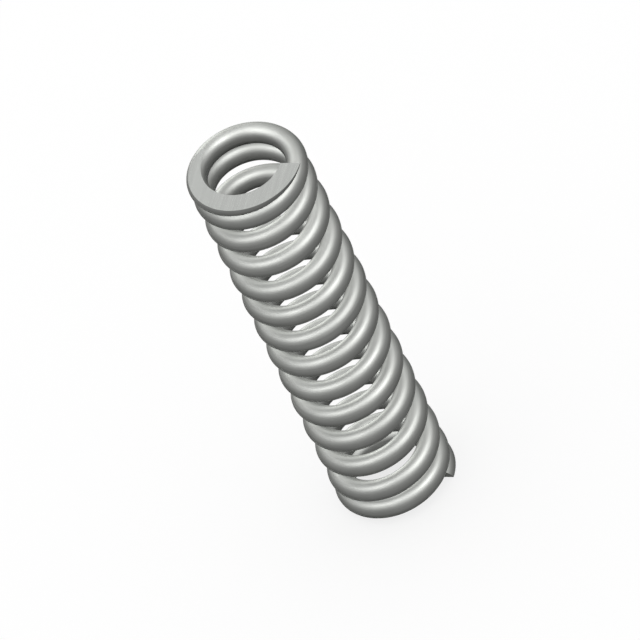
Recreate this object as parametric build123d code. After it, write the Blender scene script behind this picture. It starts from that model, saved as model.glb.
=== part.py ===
from build123d import *
import os
from math import cos, pi, radians, sin, sqrt

# Compression spring, millimetres, +Z up along the axis of the coil.
# It is one length of round spring wire, coiled right-handed, with its end coils
# closed and ground flat so that it stands square on either end. The origin is
# the point where the axis meets the lower ground face.

# Driving dimensions
outer_diameter = 12.0
wire_diameter = 2.1
free_length = 48.9
total_turns = 14.0
closed_turns = 0.95  # turns at each end wound at the closed pitch
opening_turns = 1.05  # turns over which the pitch opens to its full value
coil_clearance = 0.03  # gap left between the coils of a closed end
tip_thickness = 0.9  # wire left at each tip once the ends are ground
tip_angle = 0.0  # degrees round the axis from +X to the lower tip
points_per_turn = 18  # points that carry the centre line of the wire

# Sizes that follow from them
wire_radius = wire_diameter / 2
mean_radius = outer_diameter / 2 - wire_radius
lower_tip = tip_thickness - wire_radius
upper_tip = free_length - lower_tip
coil_length = 2 * pi * mean_radius
closed_spacing = wire_diameter + coil_clearance  # measured square to the wire
closed_pitch = closed_spacing / sqrt(1 - (closed_spacing / coil_length) ** 2)
height_to_share = upper_tip - lower_tip - closed_pitch * total_turns
open_turns = total_turns - 2 * closed_turns - opening_turns
active_pitch = closed_pitch + height_to_share / open_turns


def climb(turns):
    """Height gained along the wire's centre from a tip, up to half way along the spring."""
    opened = min(max((turns - closed_turns) / opening_turns, 0), 1)
    while_opening = opening_turns * (opened**3 - opened**4 / 2)
    fully_open = max(turns - closed_turns - opening_turns, 0)
    return closed_pitch * turns + (active_pitch - closed_pitch) * (while_opening + fully_open)


def wire_centre(turns):
    """Point on the wire's centre line, so many turns up from the lower tip."""
    if turns <= total_turns / 2:
        height = lower_tip + climb(turns)
    else:
        height = upper_tip - climb(total_turns - turns)
    angle = radians(tip_angle) + 2 * pi * turns
    return Vector(mean_radius * cos(angle), mean_radius * sin(angle), height)


def coiled_wire():
    """The round wire as it leaves the coiler, cut square at both tips."""
    steps = round(total_turns * points_per_turn)
    centre_line = Spline(*[wire_centre(total_turns * i / steps) for i in range(steps + 1)])
    section = Plane(origin=centre_line @ 0, z_dir=centre_line % 0) * Circle(wire_radius)
    return sweep(section, path=centre_line, is_frenet=True)


def ground_flat(wire):
    """The coil with both ends ground square to its axis, down to the free length."""
    lower_end_ground = split(wire, bisect_by=Plane.XY, keep=Keep.TOP)
    return split(lower_end_ground, bisect_by=Plane.XY.offset(free_length), keep=Keep.BOTTOM)


spring = ground_flat(coiled_wire())
spring.label = "spring"
os.makedirs("parts", exist_ok=True)
export_step(spring, "parts/spring.step")
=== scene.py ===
from math import atan, cos, pi, radians, sin, sqrt

import bmesh
import bpy
from mathutils import Matrix, Vector


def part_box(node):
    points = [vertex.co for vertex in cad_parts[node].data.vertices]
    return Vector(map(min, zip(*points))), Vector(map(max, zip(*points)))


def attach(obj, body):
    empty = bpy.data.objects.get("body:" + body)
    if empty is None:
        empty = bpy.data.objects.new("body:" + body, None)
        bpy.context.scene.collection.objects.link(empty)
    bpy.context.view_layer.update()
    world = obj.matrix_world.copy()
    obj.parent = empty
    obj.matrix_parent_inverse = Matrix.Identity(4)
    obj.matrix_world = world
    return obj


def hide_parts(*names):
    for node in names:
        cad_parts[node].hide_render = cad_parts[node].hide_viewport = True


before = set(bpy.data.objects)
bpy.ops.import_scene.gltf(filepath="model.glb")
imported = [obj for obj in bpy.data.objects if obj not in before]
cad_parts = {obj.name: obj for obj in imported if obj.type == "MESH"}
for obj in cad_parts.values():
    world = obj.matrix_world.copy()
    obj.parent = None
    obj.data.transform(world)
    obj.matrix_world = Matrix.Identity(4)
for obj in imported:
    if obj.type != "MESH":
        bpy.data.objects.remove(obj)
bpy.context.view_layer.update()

# The spring is one length of round spring wire, coiled right-handed on a coiling machine
# with both end coils wound closed. Here the wire's round section is carried round the axis
# and climbs by the pitch, which opens after the first coil as it does on the machine.
MM = 0.001
free_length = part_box("spring")[1].z
outer_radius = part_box("spring")[1].x
wire_diameter = 2.1 * MM
total_turns = 14.0
closed_turns = 0.95  # turns at each end wound at the closed pitch
opening_turns = 1.05  # turns over which the pitch opens to its full value
coil_clearance = 0.03 * MM  # gap left between the coils of a closed end
tip_thickness = 0.9 * MM  # wire left at each tip once the ends are ground
rings_per_turn = 100
facets_round_wire = 32

wire_radius = wire_diameter / 2
mean_radius = outer_radius - wire_radius
coil_length = 2 * pi * mean_radius
lower_tip = tip_thickness - wire_radius
closed_spacing = wire_diameter + coil_clearance  # measured square to the wire
closed_pitch = closed_spacing / sqrt(1 - (closed_spacing / coil_length) ** 2)
height_to_share = free_length - 2 * lower_tip - closed_pitch * total_turns
open_turns = total_turns - 2 * closed_turns - 2 * opening_turns
active_pitch = closed_pitch + height_to_share / (open_turns + opening_turns)


def coil_on(wire, section, pitch, rings):
    """The wire coiled on by so many rings at one pitch. Returns its last section."""
    spun = bmesh.ops.spin(
        wire,
        geom=section,
        cent=(0, 0, 0),
        axis=(0, 0, 1),
        dvec=(0, 0, pitch / rings_per_turn),
        angle=2 * pi * rings / rings_per_turn,
        steps=rings,
    )
    return spun["geom_last"]


def steepen(wire, section, before, after):
    """Tilts a section as the pitch of the wire changes there."""
    verts = [part for part in section if isinstance(part, bmesh.types.BMVert)]
    centre = sum((vert.co for vert in verts), Vector()) / len(verts)
    outwards = Vector((centre.x, centre.y, 0))
    steeper = atan(after / coil_length) - atan(before / coil_length)
    tilt = Matrix.Rotation(steeper, 3, outwards)
    bmesh.ops.rotate(wire, verts=verts, cent=centre, matrix=tilt)


# The lower tip is where the wire starts. "along_wire" keeps each point's place in the wire:
# the two ways across its section, and the distance round the coil from the lower tip.
coil = bmesh.new()
along_wire = coil.verts.layers.float_vector.new("along_wire")
tip_centre = Vector((mean_radius, 0, lower_tip))
square_to_wire = Matrix.Rotation(pi / 2 + atan(closed_pitch / coil_length), 4, "X")
bmesh.ops.create_circle(
    coil,
    segments=facets_round_wire,
    radius=wire_radius,
    matrix=Matrix.Translation(tip_centre) @ square_to_wire,
)
for vert in coil.verts:
    across = vert.co - tip_centre
    vert[along_wire] = (across.x, across.z, 0)

# The closed coil, the stretch over which the pitch opens, and the open coils to the middle.
section = coil.verts[:] + coil.edges[:]
section = coil_on(coil, section, closed_pitch, round(closed_turns * rings_per_turn))
pitch = closed_pitch
opening_rings = round(opening_turns * rings_per_turn)
for ring in range(opening_rings):
    opened = (ring + 0.5) / opening_rings
    next_pitch = closed_pitch + (active_pitch - closed_pitch) * opened**2 * (3 - 2 * opened)
    steepen(coil, section, pitch, next_pitch)
    section = coil_on(coil, section, next_pitch, 1)
    pitch = next_pitch
steepen(coil, section, pitch, active_pitch)
coil_on(coil, section, active_pitch, round(open_turns / 2 * rings_per_turn))

# The spin adds one ring of points after another, so a point's number gives its ring.
ring_spacing = coil_length / rings_per_turn
for number, vert in enumerate(coil.verts):
    vert[along_wire].z = number // facets_round_wire * ring_spacing

# The upper half is the lower half turned end over end, and joins it at the middle.
middle = Vector((0, 0, free_length / 2))
weld_distance = 0.005 * MM
upper_half = bmesh.ops.duplicate(coil, geom=coil.verts[:] + coil.edges[:] + coil.faces[:])
upper_verts = [part for part in upper_half["geom"] if isinstance(part, bmesh.types.BMVert)]
end_over_end = Matrix.Rotation(pi, 3, "X")
bmesh.ops.rotate(coil, verts=upper_verts, cent=middle, matrix=end_over_end)
for vert in upper_verts:
    x, z, distance = vert[along_wire]
    vert[along_wire] = (x, -z, total_turns * coil_length - distance)
joint = [v for v in coil.verts if v.is_boundary and abs(v.co.z - middle.z) < wire_diameter]
bmesh.ops.remove_doubles(coil, verts=joint, dist=weld_distance)

# The tips, where the wire is sheared off square, and the two end faces, which are ground
# square to the axis after coiling, so that the wire thins towards each tip.
WIRE, GROUND, SHEARED = 0, 1, 2
downwards = (0, 0, -1)
upwards = (0, 0, 1)
cutting_tolerance = 0.001 * MM
for face in coil.faces:
    face.material_index = WIRE
    face.smooth = True
tips = bmesh.ops.holes_fill(coil, edges=[e for e in coil.edges if e.is_boundary], sides=0)
for face in tips["faces"]:
    face.material_index = SHEARED
for height, outside in ((0, downwards), (free_length, upwards)):
    cut = bmesh.ops.bisect_plane(
        coil,
        geom=coil.verts[:] + coil.edges[:] + coil.faces[:],
        dist=cutting_tolerance,
        plane_co=(0, 0, height),
        plane_no=outside,
        clear_outer=True,
    )
    rim = [part for part in cut["geom_cut"] if isinstance(part, bmesh.types.BMEdge)]
    ground = bmesh.ops.holes_fill(coil, edges=rim, sides=0)
    for face in ground["faces"]:
        face.material_index = GROUND
bmesh.ops.recalc_face_normals(coil, faces=coil.faces[:])
for edge in coil.edges:
    edge.smooth = len({face.material_index for face in edge.link_faces}) == 1

coil_mesh = bpy.data.meshes.new("wire_coil")
coil.to_mesh(coil_mesh)
coil.free()
wire_coil = bpy.data.objects.new("wire_coil", coil_mesh)
bpy.context.scene.collection.objects.link(wire_coil)
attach(wire_coil, "root")
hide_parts("spring")


def linear(hex_colour):
    """An sRGB hex colour such as "b7b9b6" as the linear one that a shader takes."""
    shares = [int(hex_colour[i : i + 2], 16) / 255 for i in (0, 2, 4)]
    return [s / 12.92 if s <= 0.04045 else ((s + 0.055) / 1.055) ** 2.4 for s in shares] + [1]


def add_node(tree, kind, settings=None, **links):
    """A node of that kind in the tree, with its settings, and its inputs set or linked."""
    node = tree.nodes.new("ShaderNode" + kind)
    for name, value in (settings or {}).items():
        setattr(node, name, value)
    for name, value in links.items():
        socket = node.inputs[name.replace("_", " ")]
        if isinstance(value, bpy.types.NodeSocket):
            tree.links.new(value, socket)
        else:
            socket.default_value = value
    return node


# Drawn spring wire: hard high-carbon steel, pulled through dies under a thin film of
# phosphate and soap. The film leaves it a dark satin grey that darkens towards its edges,
# and the dies leave fine lines along it.
film_grey = linear("686967")
film_edge_grey = linear("303030")
drawn_wire = bpy.data.materials.new("drawn_spring_wire")
drawn_wire.use_nodes = True
tree = drawn_wire.node_tree
shader = tree.nodes["Principled BSDF"]
shader.inputs["Metallic"].default_value = 1.0
shader.inputs["Specular Tint"].default_value = film_edge_grey
in_wire = add_node(tree, "Attribute", {"attribute_name": "along_wire"}).outputs["Vector"]

# Noise keeps mostly between these two values, and each use of it spreads them over a range.
noise_span = {"From_Min": 0.3, "From_Max": 0.7}

# Real die lines are about 0.02 mm apart. These are 0.2 mm apart, to show at all.
line_spacing = 0.2 * MM
line_length = 14 * MM
line_depth = 0.0005 * MM
line_scale = (1 / line_spacing, 1 / line_spacing, 1 / line_length)
line_place = add_node(tree, "Mapping", Vector=in_wire, Scale=line_scale)
die_lines = add_node(tree, "TexNoise", Vector=line_place.outputs[0], Scale=1.0, Detail=1.0)
line_tone = add_node(
    tree, "MapRange", Value=die_lines.outputs[0], **noise_span, To_Min=0.96, To_Max=1.04
)

# The film wears off unevenly as the wire slides over the coiling points, in patches of 3 mm.
patch_size = 3 * MM
patch_place = add_node(tree, "Mapping", Vector=in_wire, Scale=[1 / patch_size] * 3)
film = add_node(tree, "TexNoise", Vector=patch_place.outputs[0], Scale=1.0, Detail=3.0)
film_tone = add_node(
    tree, "MapRange", Value=film.outputs[0], **noise_span, To_Min=0.93, To_Max=1.07
)
worn = add_node(tree, "HueSaturation", Value=film_tone.outputs[0], Color=film_grey)
lined = add_node(tree, "HueSaturation", Value=line_tone.outputs[0], Color=worn.outputs[0])
tree.links.new(lined.outputs[0], shader.inputs["Base Color"])
wire_roughness = add_node(
    tree, "MapRange", Value=die_lines.outputs[0], **noise_span, To_Min=0.54, To_Max=0.6
)
tree.links.new(wire_roughness.outputs[0], shader.inputs["Roughness"])
wire_relief = add_node(
    tree, "Bump", Height=die_lines.outputs[0], Strength=1.0, Distance=line_depth
)
tree.links.new(wire_relief.outputs[0], shader.inputs["Normal"])
coil_mesh.materials.append(drawn_wire)

# Ground steel: the end faces, bare metal fresh from a grinding wheel. It is paler than the
# film on the wire, flat and even, with the wheel's fine scratches across it.
bare_steel_grey = linear("acaeab")
ground_steel = bpy.data.materials.new("ground_steel")
ground_steel.use_nodes = True
tree = ground_steel.node_tree
shader = tree.nodes["Principled BSDF"]
shader.inputs["Metallic"].default_value = 1.0
on_face = add_node(tree, "TexCoord").outputs["Object"]

# An 80 grit wheel leaves scratches about 0.05 mm apart. These are 0.14 mm apart, to show.
scratch_spacing = 0.14 * MM
scratch_length = 5 * MM
scratch_depth = 0.0002 * MM
noise_turn = radians(28)  # keeps the grid of the noise out of line with the scratches
scratch_place = add_node(
    tree,
    "Mapping",
    Vector=on_face,
    Rotation=(0, 0, noise_turn),
    Scale=(1 / scratch_spacing, 1 / scratch_length, 1 / scratch_spacing),
)
scratches = add_node(tree, "TexNoise", Vector=scratch_place.outputs[0], Scale=1.0, Detail=2.0)
scratch_tone = add_node(
    tree, "MapRange", Value=scratches.outputs[0], **noise_span, To_Min=0.97, To_Max=1.03
)
scratched = add_node(
    tree, "HueSaturation", Value=scratch_tone.outputs[0], Color=bare_steel_grey
)
tree.links.new(scratched.outputs[0], shader.inputs["Base Color"])
face_roughness = add_node(
    tree, "MapRange", Value=scratches.outputs[0], **noise_span, To_Min=0.15, To_Max=0.18
)
tree.links.new(face_roughness.outputs[0], shader.inputs["Roughness"])
face_relief = add_node(
    tree, "Bump", Height=scratches.outputs[0], Strength=1.0, Distance=scratch_depth
)
tree.links.new(face_relief.outputs[0], shader.inputs["Normal"])
coil_mesh.materials.append(ground_steel)

# Sheared steel: the tips, where a cutter breaks the wire off. It is bare like the ground
# faces, but torn in grains of about 0.15 mm, which makes it dull and somewhat dark. The rest
# of its darkness is painted shade, for end faces turned away from the light.
grain_size = 0.15 * MM
grain_depth = 0.02 * MM
# A dull torn-steel grey, made darker still with painted shade.
torn_steel_and_painted_shade_grey = linear("50524f")
sheared_steel = bpy.data.materials.new("sheared_steel")
sheared_steel.use_nodes = True
tree = sheared_steel.node_tree
shader = tree.nodes["Principled BSDF"]
shader.inputs["Metallic"].default_value = 1.0
shader.inputs["Base Color"].default_value = torn_steel_and_painted_shade_grey
at_tip = add_node(tree, "TexCoord").outputs["Object"]
grain_place = add_node(tree, "Mapping", Vector=at_tip, Scale=[1 / grain_size] * 3)
grains = add_node(tree, "TexNoise", Vector=grain_place.outputs[0], Scale=1.0, Detail=2.0)
tip_roughness = add_node(
    tree, "MapRange", Value=grains.outputs[0], **noise_span, To_Min=0.45, To_Max=0.65
)
tree.links.new(tip_roughness.outputs[0], shader.inputs["Roughness"])
tip_relief = add_node(
    tree, "Bump", Height=grains.outputs[0], Strength=1.0, Distance=grain_depth
)
tree.links.new(tip_relief.outputs[0], shader.inputs["Normal"])
coil_mesh.materials.append(sheared_steel)

# The table that the spring stands on: matt white, and lit from within as a light table is,
# which leaves a quarter of the spring's shadow on it.
table_half_width = 2.0
share_of_shadow = 0.25
white = linear("ffffff")
floor_mesh = bpy.data.meshes.new("floor")
floor_form = bmesh.new()
bmesh.ops.create_grid(floor_form, x_segments=1, y_segments=1, size=table_half_width)
floor_form.to_mesh(floor_mesh)
floor_form.free()
floor = bpy.data.objects.new("floor", floor_mesh)
bpy.context.scene.collection.objects.link(floor)
light_table = bpy.data.materials.new("white_light_table")
light_table.use_nodes = True
tree = light_table.node_tree
tree.nodes.clear()
lit_within = add_node(tree, "Emission", Color=white, Strength=1.0)
lit_from_above = add_node(tree, "BsdfDiffuse", Color=white)
surface = add_node(tree, "MixShader", Fac=share_of_shadow)
tree.links.new(lit_within.outputs[0], surface.inputs[1])
tree.links.new(lit_from_above.outputs[0], surface.inputs[2])
output = add_node(tree, "OutputMaterial")
tree.links.new(surface.outputs[0], output.inputs["Surface"])
floor_mesh.materials.append(light_table)

# The studio: a white tent round the spring and its table, lit evenly, at the level at which
# a colour renders as it is written.
world = bpy.data.worlds.new("white_tent")
bpy.context.scene.world = world
world.use_nodes = True
world.node_tree.nodes["Background"].inputs["Color"].default_value = white
world.node_tree.nodes["Background"].inputs["Strength"].default_value = 1.0

# The camera, at the photograph's viewing angle: looking down on the upper end, with the
# picture turned, and with parallel lines of sight.
view_azimuth = radians(34.2)
view_elevation = radians(46.11)
view_roll = radians(26.11)
picture_width = 62.06 * MM
camera_distance = 300 * MM
nearest_in_view = 10 * MM
right = Vector((cos(view_azimuth), sin(view_azimuth), 0))
back = Vector((sin(view_azimuth), -cos(view_azimuth), 0)) * cos(view_elevation)
back.z = sin(view_elevation)
up = back.cross(right)
rolled_right = right * cos(view_roll) - up * sin(view_roll)
rolled_up = right * sin(view_roll) + up * cos(view_roll)
turned = Matrix((rolled_right, rolled_up, back)).transposed()
camera_data = bpy.data.cameras.new("camera")
camera_data.type = "ORTHO"
camera_data.ortho_scale = picture_width
camera_data.clip_start = nearest_in_view
camera = bpy.data.objects.new("camera", camera_data)
camera.matrix_world = Matrix.Translation(middle + back * camera_distance) @ turned.to_4x4()
bpy.context.scene.collection.objects.link(camera)
bpy.context.scene.camera = camera


# The softboxes: round lamps above, beside and behind the spring. They are two metres away,
# so that both ends of it are lit alike.
lamp_distance = 2.0


def soft_lamp(name, picture_side, watts, width):
    """A round softbox, placed by its side of the picture: right, up and towards the camera.

    It shines in between the coils too, and it shows on the metal alone, so the tent still
    sets the level of every other surface.
    """
    data = bpy.data.lights.new(name, "AREA")
    data.shape = "DISK"
    data.size = width
    data.energy = watts
    data.use_shadow = False
    softbox = bpy.data.objects.new(name, data)
    softbox.visible_diffuse = False
    side = (turned @ Vector(picture_side)).normalized()
    facing = side.to_track_quat("Z", "Y").to_matrix().to_4x4()
    softbox.matrix_world = Matrix.Translation(middle + side * lamp_distance) @ facing
    bpy.context.scene.collection.objects.link(softbox)


soft_lamp("key", picture_side=(0.11, 0.56, 0.82), watts=95, width=0.5)
soft_lamp("fill", picture_side=(-0.69, 0.29, 0.66), watts=64, width=0.4)
soft_lamp("rim", picture_side=(-0.48, 0.69, -0.54), watts=68, width=0.4)
soft_lamp("upper_left", picture_side=(-0.65, 0.65, 0.4), watts=32, width=1.0)
soft_lamp("top", picture_side=(0.0, 1.0, 0.0), watts=7, width=1.5)
soft_lamp("back_top", picture_side=(0.0, 0.8, -0.6), watts=12, width=1.5)

bpy.context.scene.view_settings.view_transform = "Standard"
